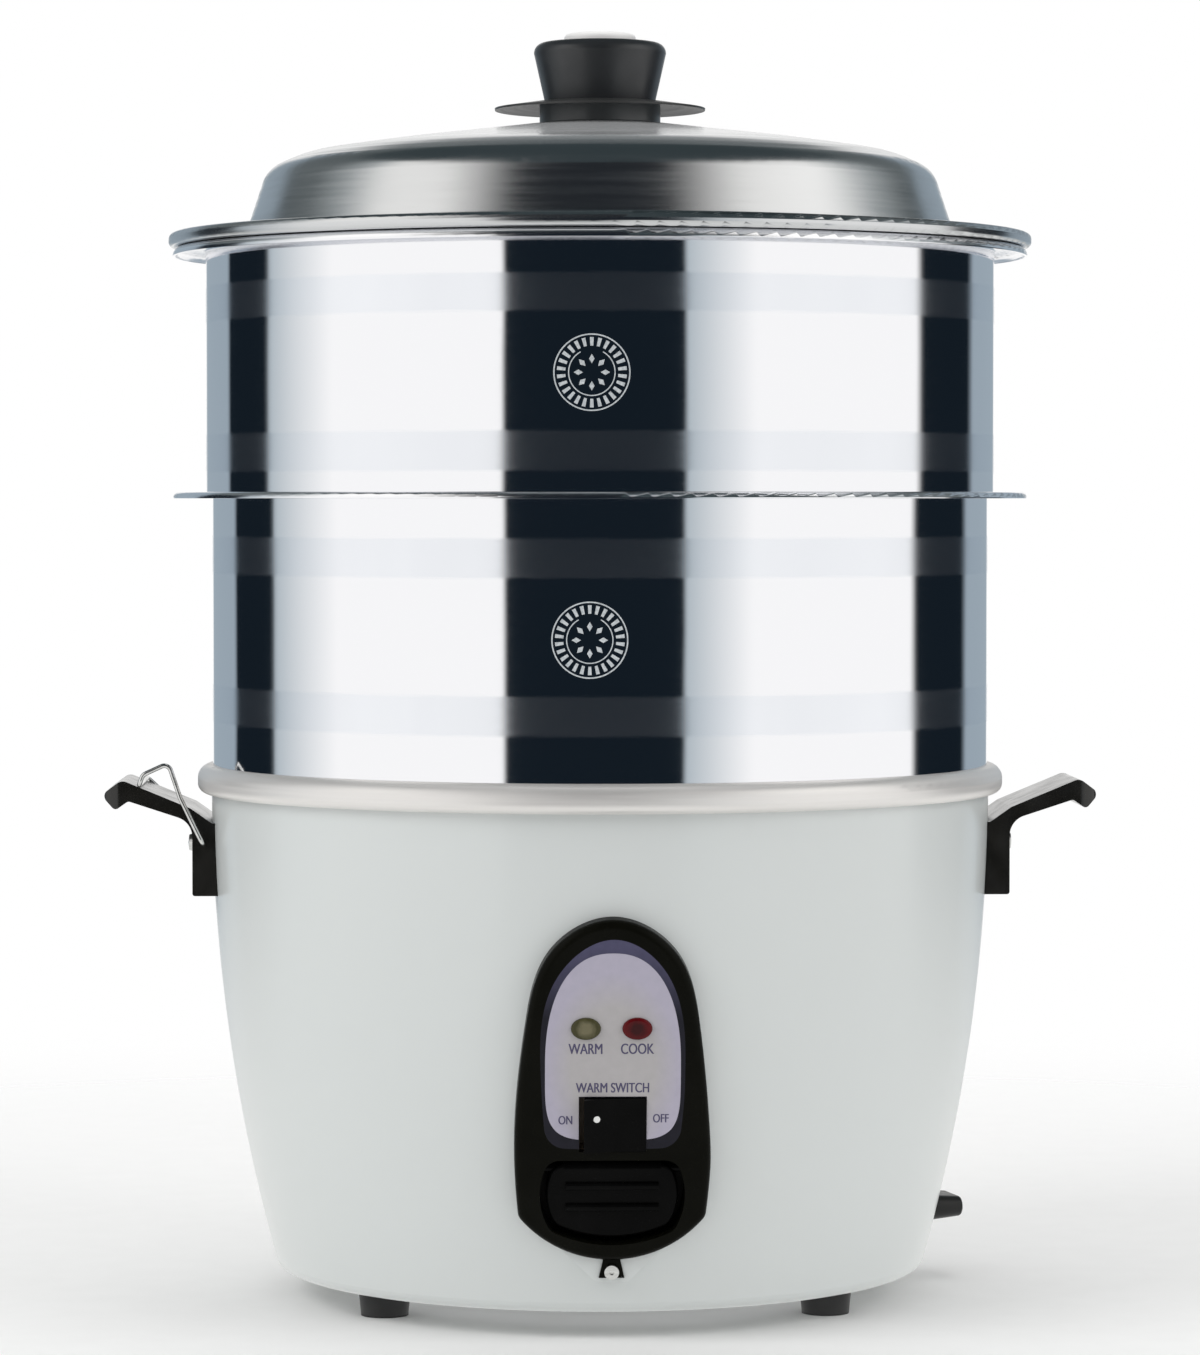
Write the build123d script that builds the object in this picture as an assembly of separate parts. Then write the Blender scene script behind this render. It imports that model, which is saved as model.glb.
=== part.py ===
"""Electric rice cooker with two steamer tiers, built as it comes apart on a bench.

The origin is on the table under the axis, +Z is up, the control panel faces -Y and the
lid stand is on the handle at -X. All sizes are in millimetres.
"""

from math import atan, cos, radians, sin
import os

from build123d import *

# Heights above the table
foot_height = 10.0
shell_top_z = 196.0
rim_top_z = 207.0
lower_flange_z = 312.9
upper_flange_z = 407.9
lid_brim_z = 413.2
lid_top_z = 456.0
cap_top_z = 492.7

# Outer shell: a bowl with one long side arc, vertical where it meets the rim
shell_radius = 152.0
shell_side_arc = 668.0
shell_corner = 5.5
shell_sheet = 1.2
shell_lip = 2.6
service_opening_radius = 95.0

# Outer pot, its rolled rim and the inner pot
pot_sheet = 1.2
pot_bottom_z = 58.0
pot_bottom_radius = 119.0
pot_bottom_corner = 28.0
pot_mouth_radius = 148.4
rim_radius = 157.4
rim_hem_radius = 150.0
inner_pot_sheet = 1.0
inner_pot_bottom_radius = 105.0
inner_pot_radius = 112.0
inner_pot_rim_radius = 120.0
inner_pot_top_z = 180.0

# Steamer tiers
tier_sheet = 1.0
lower_tier_radius = 151.5
lower_skirt_radius = 146.5
upper_tier_radius = 153.85
upper_skirt_radius = 149.0
skirt_depth = 10.0
flange_radius = 166.6
lower_flange_lip = 2.4
upper_flange_lip = 3.5
floor_hole_radius = 5.0
floor_ring_pitch = 36.0
floor_rings = 3

# Lid and knob
lid_sheet = 1.0
lid_radius = 168.15
lid_hem_radius = 160.5
lid_wall_foot_radius = 138.2
lid_wall_top = (130.0, 438.0)
lid_shoulder_end = (116.0, 444.2)
lid_dome = (85.0, 448.9)
lid_flat_radius = 29.0
knob_screw_radius = 2.5
collar_radius = 23.6
collar_top_z = 464.0
guard_radius = 41.15
guard_sheet = 0.8
knob_base_radius = 21.5
knob_top_radius = 25.8
knob_widest_z = 484.0
knob_top_z = 488.6
cap_radius = 14.0
cap_side = 1.0

# Handles and the wire lid stand
handle_width = 50.0
handle_reach = 194.0
handle_end_corner = 8.0
handle_low_z = 156.6
handle_leg_x = 158.6
handle_root_z = 184.8
handle_screw_z = 176.6
handle_screw_spread = 11.0
wire_radius = 0.9
stand_half_width = 27.5
stand_stub = 6.5
stand_pivot = (154.4, 177.0)
stand_lean = (163.0, 194.6)
stand_apex = (167.6, 208.3)
stand_bend = (177.4, 203.8)
stand_bar = (178.9, 199.8)
pivot_clearance = 0.05

# Control panel: a flat frame leaning with the shell, its heights given above the table
panel_low_z = 32.3
panel_high_z = 158.8
panel_proud = 7.5
bezel_shoulder = (23.4, 146.0)
bezel_upper_side = (31.7, 120.4)
bezel_widest = (35.8, 78.0)
bezel_corner = (34.3, 48.6)
bezel_round = 5.0
arch_lead = 0.12
bezel_border = 3.0
bezel_wall = 2.4
label_high_z = 152.0
label_shoulder = (19.8, 139.0)
label_widest = (26.3, 103.0)
label_corner = (24.2, 75.0)
label_foot_bow = 0.6
label_round = 8.0
label_sheet = 0.8
lamp_z = 119.3
lamp_width = 10.9
lamp_height = 8.2
lamp_stem_radius = 2.9
lamp_places = {"warm": -9.9, "cook": 8.8}
rocker_middle_z = 83.6
rocker_height = 20.0
rocker_half_width = 11.4
rocker_gap = 0.8
rocker_lean = 7.0
rocker_depth = 5.0
rocker_pin_radius = 1.2
lever_top = (23.0, 70.2)
lever_widest = (26.4, 55.0)
lever_corner = (22.5, 43.8)
lever_low_z = 38.5
lever_round = 6.0
lever_gap = 2.2
lever_pin_length = 50.4
lever_pivot_z = 66.0
lever_pin_radius = 1.5
lever_cup_floor = -7.0
lever_tail_z = 46.6
rib_length = 34.0
rib_heights = (60.1, 52.2)
screw_boss_z = 27.6
chin_proud = 3.2
tab_sheet = 1.0
dot_place = (-6.6, 2.6)

# Feet, bottom cover and inlet
foot_spread = (84.0, 64.6)
foot_top_radius = 10.0
foot_low_radius = 9.0
cover_sheet = 1.2
screw_radius = 1.6
cover_radius = 112.0
inlet_azimuth = 14.0
inlet_z = 27.5
inlet_width = 30.0
inlet_height = 12.4
inlet_reach = 17.0

# Heights that follow from the ones above
cover_top_z = foot_height + shell_sheet + cover_sheet
pot_floor_z = pot_bottom_z + pot_sheet
FROM_LOW = (Align.CENTER, Align.CENTER, Align.MIN)
FROM_HIGH = (Align.CENTER, Align.CENTER, Align.MAX)
FROM_LEFT = (Align.MIN, Align.CENTER, Align.CENTER)


def shell_radius_at(z):
    """Outer radius of the shell's side at a height."""
    return shell_radius - (shell_top_z - z) ** 2 / (2 * shell_side_arc)


# The panel's own plane: X to the right, Y up along the slope, Z out of the shell
panel_lean = atan(
    (shell_radius_at(panel_high_z) - shell_radius_at(panel_low_z)) / (panel_high_z - panel_low_z)
)
panel_middle_z = (panel_low_z + panel_high_z) / 2
panel_middle_y = -(shell_radius_at(panel_high_z) + shell_radius_at(panel_low_z)) / 2
panel = Plane(
    origin=(0, panel_middle_y, panel_middle_z),
    x_dir=(1, 0, 0),
    z_dir=(0, -cos(panel_lean), -sin(panel_lean)),
)


def up(z):
    """Distance up the panel of a height above the table."""
    return (z - panel_middle_z) / cos(panel_lean)


def on_panel(x, z, out, shape):
    """The shape placed on the panel, at a height above the table and a distance out."""
    return panel * Pos(x, up(z), out) * shape


def slab(face, low, high):
    """A face drawn on the panel, extruded between two distances out of it."""
    return panel * Pos(0, 0, low) * extrude(face, amount=high - low)


def at(x, y, z, shape):
    """The shape moved to a place."""
    return Pos(x, y, z) * shape


def turned(points, radii, sheet):
    """Sheet metal turned about the axis, thickened to the left of a path of radius and height."""
    path = FilletPolyline(*points, radius=radii)
    outline = offset(path, amount=sheet, side=Side.LEFT)
    return revolve(make_face(Plane.XZ * outline), Axis.Z)


def turned_solid(points):
    """A solid turned about the axis from a closed outline of radius and height."""
    return revolve(make_face(Plane.XZ * Polyline(*points, close=True)), Axis.Z)


def opposite(place):
    """The place mirrored to the panel's other side."""
    return (-place[0], place[1])


def arch_face(right, top, low, corner):
    """A face on the panel: one smooth curve over the top, a bowed foot, round lower corners."""
    left = [opposite(place) for place in right]
    arch = Spline(*left, top, *reversed(right), tangents=[(-arch_lead, 1), (-arch_lead, -1)])
    foot = ThreePointArc(right[0], low, left[0])
    return fillet(make_face(arch + foot).vertices(), corner)


def bezel_outline(inset=0.0):
    """Face of the bezel, or of the same form drawn in evenly."""
    half_height = (panel_high_z - panel_low_z) / 2
    narrower = 1 - inset / bezel_widest[0]
    lower = 1 - inset / half_height

    def drawn(x, z):
        return x * narrower, up(panel_middle_z + (z - panel_middle_z) * lower)

    right = [drawn(*place) for place in (bezel_corner, bezel_widest, bezel_upper_side, bezel_shoulder)]
    return arch_face(right, drawn(0, panel_high_z), drawn(0, panel_low_z), bezel_round)


def label_outline():
    """Face of the label plate: an egg-shaped arch."""
    right = [(x, up(z)) for x, z in (label_corner, label_widest, label_shoulder)]
    low = up(label_corner[1]) - label_foot_bow
    return arch_face(right, (0, up(label_high_z)), (0, low), label_round)


def lever_outline(grow=0.0):
    """Face of the lever's recess, grown or shrunk: bowed sides and foot, round corners."""
    top = (lever_top[0] + grow, up(lever_top[1]) + grow)
    widest = (lever_widest[0] + grow, up(lever_widest[1]))
    corner = (lever_corner[0] + 0.8 * grow, up(lever_corner[1]) - 0.7 * grow)
    right = ThreePointArc(top, widest, corner)
    foot = ThreePointArc(corner, (0, up(lever_low_z) - grow), opposite(corner))
    left = ThreePointArc(opposite(corner), opposite(widest), opposite(top))
    roof = Line(opposite(top), top)
    return fillet(make_face(right + foot + left + roof).vertices(), lever_round)


def shell_solid():
    """The outer shell's whole outline, filled."""
    low_radius = shell_radius_at(foot_height)
    mid_z = (shell_top_z + foot_height) / 2
    side = ThreePointArc(
        (low_radius, foot_height), (shell_radius_at(mid_z), mid_z), (shell_radius, shell_top_z)
    )
    rest = Polyline((shell_radius, shell_top_z), (0, shell_top_z), (0, foot_height), (low_radius, foot_height))
    filled = revolve(make_face(Plane.XZ * (side + rest)), Axis.Z)
    bottom_edge = filled.edges().filter_by(GeomType.CIRCLE).sort_by(Axis.Z)[0]
    return fillet(bottom_edge, shell_corner)


# Casing and feet


def outer_shell(filled):
    """Painted bowl with an in-turned top lip, a panel cut-out and a pressed screw chin."""
    top_face = filled.faces().sort_by(Axis.Z)[-1]
    shell = offset(filled, amount=-shell_sheet, openings=top_face, kind=Kind.INTERSECTION)
    lip_low = shell_top_z - shell_sheet
    lip = at(0, 0, lip_low, Cylinder(shell_radius - 0.4, shell_sheet, align=FROM_LOW))
    lip -= at(0, 0, lip_low, Cylinder(shell_radius - shell_lip, shell_sheet, align=FROM_LOW))
    shell += lip
    shell -= at(0, 0, foot_height, Cylinder(service_opening_radius, 5 * shell_sheet))
    shell = shell + shell_chin(filled) - slab(bezel_outline(bezel_border), -30, 30)
    shell -= screw_bore()
    for x, y, z in handle_screw_places():
        shell -= at(x, y, z, Rot(0, 90, 0) * Cylinder(screw_radius, 24))
    shell -= inlet_frame() * Box(40, inlet_width - 8, inlet_height - 6)
    for x, y in foot_places():
        shell -= at(x, y, foot_height, Cylinder(screw_radius, 10))
    return shell


def shell_chin(filled):
    """Pressed V below the panel that carries its screw."""
    tip = up(screw_boss_z - 4.2)
    outline = Polyline((-29, up(46)), (-6, tip), (6, tip), (29, up(46)), close=True)
    chin = slab(fillet(make_face(outline).vertices(), 3), -2, chin_proud)
    return chin - filled - slab(bezel_outline(), -30, 30)


def bottom_cover():
    """Sheet disc inside the shell's bottom flange, with a ring of cooling slots."""
    cover = at(0, 0, foot_height + shell_sheet, Cylinder(cover_radius, cover_sheet, align=FROM_LOW))
    slot = extrude(SlotOverall(34, 5), amount=20, both=True)
    for angle in range(0, 360, 45):
        cover -= Rot(0, 0, angle) * at(60, 0, 0, Rot(0, 0, 90) * slot)
    for x, y in foot_places():
        cover -= at(x, y, foot_height, Cylinder(screw_radius, 10))
    return cover


def foot_places():
    """Centres of the four feet."""
    x, y = foot_spread
    return [(-x, -y), (x, -y), (-x, y), (x, y)]


def foot(x, y):
    """Moulded rubber foot with a recess for its screw."""
    shape = turned_solid([(0, 0), (foot_low_radius, 0), (foot_top_radius, foot_height), (0, foot_height)])
    shape -= Cylinder(4.2, 5, align=FROM_LOW)
    shape -= Cylinder(screw_radius, 30)
    return at(x, y, 0, shape)


def foot_screws():
    """Four pan-head screws up through the feet and the bottom cover."""
    top = cover_top_z + 4
    screw = turned_solid([(0, 2.6), (3.6, 2.6), (3.6, 5), (screw_radius, 5), (screw_radius, top), (0, top)])
    return Compound([at(x, y, 0, screw) for x, y in foot_places()])


def handle_screw_places():
    """Where the handles' screws pass the shell, and their height."""
    spread = handle_screw_spread
    return [(side * 150.0, y, handle_screw_z) for side in (-1, 1) for y in (-spread, spread)]


def inlet_frame():
    """Frame of the inlet: X out of the shell along its azimuth."""
    angle = radians(inlet_azimuth)
    radius = shell_radius_at(inlet_z)
    return Plane(
        origin=(radius * cos(angle), radius * sin(angle), inlet_z),
        x_dir=(cos(angle), sin(angle), 0),
        z_dir=(0, 0, 1),
    )


def inlet_housing(filled):
    """Moulded inlet: a flange that hugs the shell and a tapered hood with the socket in it."""
    upright = Rot(0, 90, 0) * Rot(0, 0, 90)
    flange = upright * extrude(SlotOverall(inlet_width + 4, inlet_height), amount=3.5)
    root = upright * SlotOverall(inlet_width - 2, inlet_height - 1.5)
    nose_end = at(inlet_reach, 0, 0, upright * SlotOverall(inlet_width - 7, inlet_height - 4.6))
    hood = loft([root, nose_end])
    hood = fillet(hood.faces().sort_by(Axis.X)[-1].edges(), 1.4)
    outside = inlet_frame() * (at(-3, 0, 0, flange) + hood) - filled
    well = Box(12, inlet_width - 8, inlet_height - 6, align=FROM_LEFT)
    socket = Box(30, inlet_width - 11, inlet_height - 7.5, align=FROM_LEFT)
    housing = outside + inlet_frame() * at(-9, 0, 0, well) - inlet_frame() * at(2, 0, 0, socket)
    for y in (-6, 6):
        housing -= inlet_frame() * at(0, y, 0, Rot(0, 90, 0) * Cylinder(1.5, 60))
    return housing


def inlet_pins():
    """Two round contact pins through the inlet's back wall."""
    pin = Rot(0, 90, 0) * Cylinder(1.5, 22, align=FROM_LOW)
    return Compound([inlet_frame() * at(-12, y, 0, pin) for y in (-6, 6)])


# Heating parts under the pot


def outer_pot():
    """Drawn pot whose rolled rim caps the shell and carries the lower tier."""
    flange = rim_top_z - pot_sheet
    outer = rim_radius - pot_sheet
    hem = shell_top_z + pot_sheet
    points = [
        (0, pot_bottom_z),
        (pot_bottom_radius, pot_bottom_z),
        (pot_mouth_radius, shell_top_z),
        (pot_mouth_radius, flange),
        (outer, flange),
        (outer, hem),
        (rim_hem_radius, hem),
    ]
    return turned(points, [pot_bottom_corner, 0, 0.6, 4.2, 2.4], pot_sheet)


def heating_plate():
    """Cast plate clamped under the pot, with the raised ring that holds its element."""
    plate = turned_solid(
        [(20, 51), (58, 51), (61, 46), (73, 46), (76, 51), (88, 51), (90, pot_bottom_z), (20, pot_bottom_z)]
    )
    for angle in (75, 105):
        plate -= Rot(0, 0, angle) * at(67, 0, 46, Cylinder(2.6, 12))
    return plate


def heater_terminals():
    """The element's two cold ends, coming down out of the cast ring."""
    pin = turned_solid([(0, 30), (1.2, 30), (1.2, 38), (2.6, 38), (2.6, 52), (0, 52)])
    return Compound([Rot(0, 0, angle) * at(67, 0, 0, pin) for angle in (75, 105)])


def thermostat():
    """Bimetal thermostat: a round sensing cap on a square body with two tags."""
    cap = at(0, 0, pot_bottom_z, Cylinder(14, 5, align=FROM_HIGH))
    case = Box(26, 26, 12)
    case = at(0, 0, 47, fillet(case.edges().filter_by(Axis.Z), 3))
    tags = [at(x, 0, 36, Box(6, 0.8, 10)) for x in (-7, 7)]
    return cap + case + tags[0] + tags[1]


def heater_strap():
    """Steel strap across the bottom cover that presses the plate against the pot."""
    leg = 46 - cover_top_z
    strap = at(0, -67, 45, Box(90, 12, 2))
    for side in (-1, 1):
        strap += at(side * 44, -67, cover_top_z, Box(2, 12, leg, align=FROM_LOW))
        strap += at(side * 49, -67, cover_top_z, Box(12, 12, 2, align=FROM_LOW))
    return strap


def thermal_fuse():
    """Fuse in its sleeve, lying under the strap in a clip."""
    sleeve = at(0, -67, 41.5, Rot(0, 90, 0) * Cylinder(2.5, 24))
    leads = at(0, -67, 41.5, Rot(0, 90, 0) * Cylinder(0.6, 50))
    return sleeve + leads


def terminal_block():
    """Insulated two-way block near the inlet, with its screw tunnels."""
    block = Box(34, 16, 16, align=FROM_LOW)
    block = fillet(block.edges().filter_by(Axis.Z), 2)
    for x in (-8, 8):
        block -= at(x, 0, 8, Rot(90, 0, 0) * Cylinder(2.4, 30))
        block -= at(x, 0, 16, Cylinder(2.2, 10))
    return at(55, 62, cover_top_z, block)


def inner_pot():
    """Cooking pot that stands on the outer pot's floor, with a turned-down rim."""
    under_rim = inner_pot_top_z - inner_pot_sheet
    points = [
        (0, pot_floor_z),
        (inner_pot_bottom_radius, pot_floor_z),
        (inner_pot_radius, under_rim),
        (inner_pot_rim_radius - inner_pot_sheet, under_rim),
        (inner_pot_rim_radius - inner_pot_sheet, under_rim - 3),
    ]
    return turned(points, [14, 0, 0], inner_pot_sheet)


# Control panel


def panel_bezel(filled):
    """Moulded frame that hugs the shell, with a cup for the lever and holes for what shows."""
    frame = slab(bezel_outline(), -14, panel_proud) - filled
    front = frame.faces().sort_by(lambda face: face.center().dot(panel.z_dir))[-1]
    frame = fillet(front.outer_wire().edges(), 3)
    frame += slab(bezel_outline(bezel_border + 0.2), -7, 4)
    frame -= slab(bezel_outline(bezel_border + bezel_wall), -20, panel_proud - 4)
    frame += slab(lever_outline(1.6), lever_cup_floor - 2, panel_proud - 3)
    frame -= slab(lever_outline(), lever_cup_floor, 20)
    frame -= on_panel(0, lever_tail_z, 0, Box(18, 12, 60))
    frame -= slab(label_outline(), panel_proud - label_sheet, 20)
    for x in lamp_places.values():
        frame -= on_panel(x, lamp_z, 0, Cylinder(lamp_stem_radius, 60))
    frame -= on_panel(0, rocker_middle_z, 0, rocker_hole())
    frame -= on_panel(0, lever_pivot_z, 2, Rot(0, 90, 0) * Cylinder(lever_pin_radius, lever_pin_length))
    return frame + screw_tab()


def screw_tab():
    """Small black tab of the bezel under its screw."""
    high, low = up(panel_low_z + 2), up(screw_boss_z - 2.4)
    outline = make_face(Polyline((-2.6, high), (-4.7, low), (4.7, low), (2.6, high), close=True))
    return slab(outline, chin_proud, chin_proud + tab_sheet) - screw_bore()


def screw_bore():
    """Room for the shank of the panel's screw."""
    return on_panel(0, screw_boss_z, 0, Cylinder(screw_radius, 30))


def rocker_hole():
    """Block that clears the rocker, through the label and the bezel."""
    return Box(2 * (rocker_half_width + rocker_gap), rocker_height + 0.6, 60)


def panel_label():
    """Thin printed plate in the bezel's pocket, open round the rocker and the lamps."""
    plate = slab(label_outline(), panel_proud - label_sheet, panel_proud)
    for x in lamp_places.values():
        plate -= on_panel(x, lamp_z, 0, Cylinder(lamp_stem_radius, 60))
    return plate - on_panel(0, rocker_middle_z, 0, rocker_hole())


def lamp_lens(x):
    """Oval domed lens over the label, on a stem that takes the lamp behind it."""
    dome = extrude(Ellipse(lamp_width / 2, lamp_height / 2), amount=1.4)
    dome = fillet(dome.edges().sort_by(Axis.Z)[-1], 1.0)
    stem = Cylinder(lamp_stem_radius, 7, align=FROM_HIGH)
    bore = at(0, 0, -2, Cylinder(1.9, 6, align=FROM_HIGH))
    return on_panel(x, lamp_z, panel_proud, dome + stem - bore)


def neon_lamp(x):
    """Small glass lamp pushed into its lens from behind, with two leads."""
    glass = Cylinder(1.9, 9, align=FROM_HIGH)
    leads = [at(side, 0, -8.5, Cylinder(0.35, 5, align=FROM_HIGH)) for side in (-0.8, 0.8)]
    return on_panel(x, lamp_z, panel_proud - 2, glass + leads[0] + leads[1])


def panel_screw():
    """Screw through the bezel's tab into the shell's chin."""
    seat = chin_proud + tab_sheet
    head = at(0, 0, seat, Cylinder(2.7, 1.6, align=FROM_LOW))
    head -= at(0, 0, seat + 0.8, Cylinder(0.9, 1.6, align=FROM_LOW))
    shank = at(0, 0, seat, Cylinder(screw_radius, 10, align=FROM_HIGH))
    return on_panel(0, screw_boss_z, 0, head + shank)


def cook_lever():
    """Paddle with two grip ribs, a barrel for its pin and a tail that reaches the switch."""
    paddle = slab(lever_outline(-lever_gap), 1.5, 5.0)
    edges = paddle.faces().sort_by(lambda f: f.center().dot(panel.z_dir))[-1].outer_wire().edges()
    paddle = fillet(edges, 1.2)
    for z in rib_heights:
        rib = Box(rib_length, 2.6, 3, align=FROM_LOW)
        rib = fillet(rib.edges().filter_by(Axis.X).sort_by(Axis.Z)[-2:], 1.0)
        paddle += on_panel(0, z, 4, rib)
    barrel = Rot(0, 90, 0) * Cylinder(3.2, 2 * (lever_top[0] - lever_gap) - 6)
    paddle += on_panel(0, lever_pivot_z, 2, barrel)
    paddle += on_panel(0, lever_tail_z, 3, Box(12, 5, 14.2, align=FROM_HIGH))
    bore = Rot(0, 90, 0) * Cylinder(lever_pin_radius + pivot_clearance, 80)
    return paddle - on_panel(0, lever_pivot_z, 2, bore)


def lever_pin():
    """Steel pin across the cup that the lever turns on."""
    pin = Rot(0, 90, 0) * Cylinder(lever_pin_radius, lever_pin_length)
    return on_panel(0, lever_pivot_z, 2, pin)


def warm_rocker():
    """Rocker with a hollow face, leaning to the side that is pressed, with its hub."""
    half, rise, depth = rocker_half_width, 1.3, 6.5
    corners = [(-half, rise), (0, 0), (half, rise), (half - 1.5, -depth), (1.5 - half, -depth)]
    outline = Polyline(*corners, close=True)
    rocker = extrude(Plane.XZ * make_face(outline), amount=rocker_height / 2, both=True)
    hub = at(0, 0, -depth, Rot(90, 0, 0) * Cylinder(2.2, rocker_height))
    dot = at(*dot_place, 0.3, Cylinder(1.25, 2))
    leaning = at(0, 0, -rocker_depth, Rot(0, rocker_lean, 0) * at(0, 0, rocker_depth, rocker + hub - dot))
    bore = at(0, 0, -rocker_depth, Rot(90, 0, 0) * Cylinder(rocker_pin_radius + pivot_clearance, 60))
    return on_panel(0, rocker_middle_z, panel_proud + 0.8, leaning - bore)


def rocker_dot():
    """White marker set in the rocker's raised side."""
    dot = at(*dot_place, -0.7, Cylinder(1.25, 1.4, align=FROM_LOW))
    leaning = at(0, 0, -rocker_depth, Rot(0, rocker_lean, 0) * at(0, 0, rocker_depth, dot))
    return on_panel(0, rocker_middle_z, panel_proud + 0.8, leaning)


def rocker_case():
    """Body of the keep-warm switch behind the panel, with its pin and two tags."""
    wide, tall = 2 * (rocker_half_width + rocker_gap) + 2.4, rocker_height + 1
    case = at(0, 0, -4, Box(wide, tall, 9.5, align=FROM_HIGH))
    case = fillet(case.edges().filter_by(Axis.Z), 1)
    case -= at(0, 0, -3, Box(wide - 2.4, tall - 0.6, 9, align=FROM_HIGH))
    pin = at(0, 0, 0.8 - rocker_depth, Rot(90, 0, 0) * Cylinder(rocker_pin_radius, tall - 0.3))
    tags = [at(x, 0, -13.4, Box(0.8, 4, 5, align=FROM_HIGH)) for x in (-6, 6)]
    return on_panel(0, rocker_middle_z, panel_proud, case + pin + tags[0] + tags[1])


def cook_switch():
    """Switch block behind the lever's cup, on its steel bracket, with a plunger and two tags."""
    depth = lever_cup_floor - 11
    block = at(0, 0, depth, Box(28, 12, 10, align=FROM_HIGH))
    block = fillet(block.edges().filter_by(Axis.Z), 1.5)
    plunger = at(0, 0, depth, Cylinder(2, 3, align=FROM_LOW))
    tag = Box(5, 7, 0.8)
    switch = block + plunger + at(-8, -7.5, depth - 7, tag) + at(8, -7.5, depth - 7, tag)
    return on_panel(0, lever_tail_z, 0, switch)


def switch_bracket():
    """Bent steel bracket that carries the cook switch from the bottom cover."""
    depth = lever_cup_floor - 21
    back = on_panel(0, lever_tail_z, depth, Box(30, 11, 1.2, align=FROM_HIGH))
    low = on_panel(0, lever_tail_z, depth, Box(1, 11, 1.2, align=FROM_HIGH)).bounding_box()
    leg_height = low.min.Z - cover_top_z + 4
    leg = at(0, low.max.Y - 0.2, cover_top_z, Box(16, 1.2, leg_height, align=FROM_LOW))
    toe = at(0, low.max.Y + 5, cover_top_z, Box(16, 12, 1.2, align=FROM_LOW))
    return back + leg + toe


# Handles and the lid stand


def right_handle(filled):
    """Moulded handle: a leg down the shell, a plate that rises outwards and a turned-down lip."""
    section = make_face(
        FilletPolyline(
            (140, handle_low_z),
            (handle_leg_x, handle_low_z),
            (handle_leg_x, 185.3),
            (183.3, 193.4),
            (188.4, 189.8),
            (handle_reach, 195.6),
            (185.8, 201.6),
            (159.2, 190.6),
            (151.0, handle_root_z),
            (140, handle_root_z),
            radius=[0, 1.0, 8.0, 1.5, 1.8, 2.6, 3.6, 3.0, 2.0, 0],
            close=True,
        )
    )
    side_view = extrude(Plane.XZ * section, amount=handle_width, both=True)
    plan = Rectangle(handle_reach - 130, handle_width, align=(Align.MIN, Align.CENTER))
    plan = fillet(plan.vertices().sort_by(Axis.X)[-2:], handle_end_corner)
    from_above = at(130, 0, 150, extrude(plan, amount=60))
    handle = (side_view & from_above) - filled
    for side_x, y, z in handle_screw_places():
        if side_x > 0:
            handle -= at(150, y, z, Rot(0, 90, 0) * Cylinder(screw_radius, 40))
    return handle


def left_handle(handle):
    """The right handle's mirror image, with two pivot holes for the lid stand."""
    bore = Rot(90, 0, 0) * Cylinder(wire_radius + pivot_clearance, 2 * stand_half_width)
    bore -= Rot(90, 0, 0) * Cylinder(wire_radius + 1, handle_width - 2 * stand_stub)
    return mirror(handle, about=Plane.YZ) - at(-stand_pivot[0], 0, stand_pivot[1], bore)


def handle_screws():
    """Four round-headed screws through the handles' legs into the shell."""
    screw = turned_solid([(0, -12), (screw_radius, -12), (screw_radius, 0), (3.6, 0), (3.0, 1.8), (0, 2.2)])
    screws = []
    for x, y, z in handle_screw_places():
        side = 1 if x > 0 else -1
        screws.append(at(side * handle_leg_x, y, z, Rot(0, side * 90, 0) * screw))
    return Compound(screws)


def lid_stand():
    """Bent wire bail: a tall near arm, a bar that rests on the handle and a low far arm."""
    end = handle_width / 2 - stand_stub + 0.4
    near, far = -stand_half_width, stand_half_width
    route = [
        (stand_pivot, -end),
        (stand_pivot, near),
        (stand_lean, near),
        (stand_apex, near),
        (stand_bend, near),
        (stand_bar, near),
        (stand_bar, far),
        (stand_pivot, far),
        (stand_pivot, end),
    ]
    points = [(-place[0], y, place[1]) for place, y in route]
    path = FilletPolyline(*points, radius=[2.0, 6.0, 2.6, 3.0, 1.8, 1.8, 2.0])
    section = Plane(origin=points[0], z_dir=(0, -1, 0)) * Circle(wire_radius)
    return sweep(section, path=path)


# Steamer tiers and lid


def steamer_wall(seat_z, top_z, skirt_radius, radius, lip):
    """Tier wall: a skirt that drops into what is below, a shoulder that rests on it and a flange."""
    under_flange = top_z - tier_sheet
    points = [
        (skirt_radius, seat_z - skirt_depth),
        (skirt_radius, seat_z),
        (radius, seat_z),
        (radius, under_flange),
        (flange_radius - tier_sheet, under_flange),
        (flange_radius - tier_sheet, top_z - lip),
    ]
    return turned(points, [0, 0, 1.2, lip - tier_sheet - 0.3], tier_sheet)


def steamer_floor(seat_z, skirt_radius):
    """Perforated floor at the foot of the skirt, holes in rings of six, twelve and so on."""
    low = seat_z - skirt_depth
    floor = at(0, 0, low, Cylinder(skirt_radius - tier_sheet, tier_sheet, align=FROM_LOW))
    places = [(0, 0)]
    for ring in range(1, floor_rings + 1):
        for step in range(6 * ring):
            angle = radians(360 * step / (6 * ring))
            places.append((ring * floor_ring_pitch * cos(angle), ring * floor_ring_pitch * sin(angle)))
    holes = [at(x, y, low, Cylinder(floor_hole_radius, 4)) for x, y in places]
    return floor - holes


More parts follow.
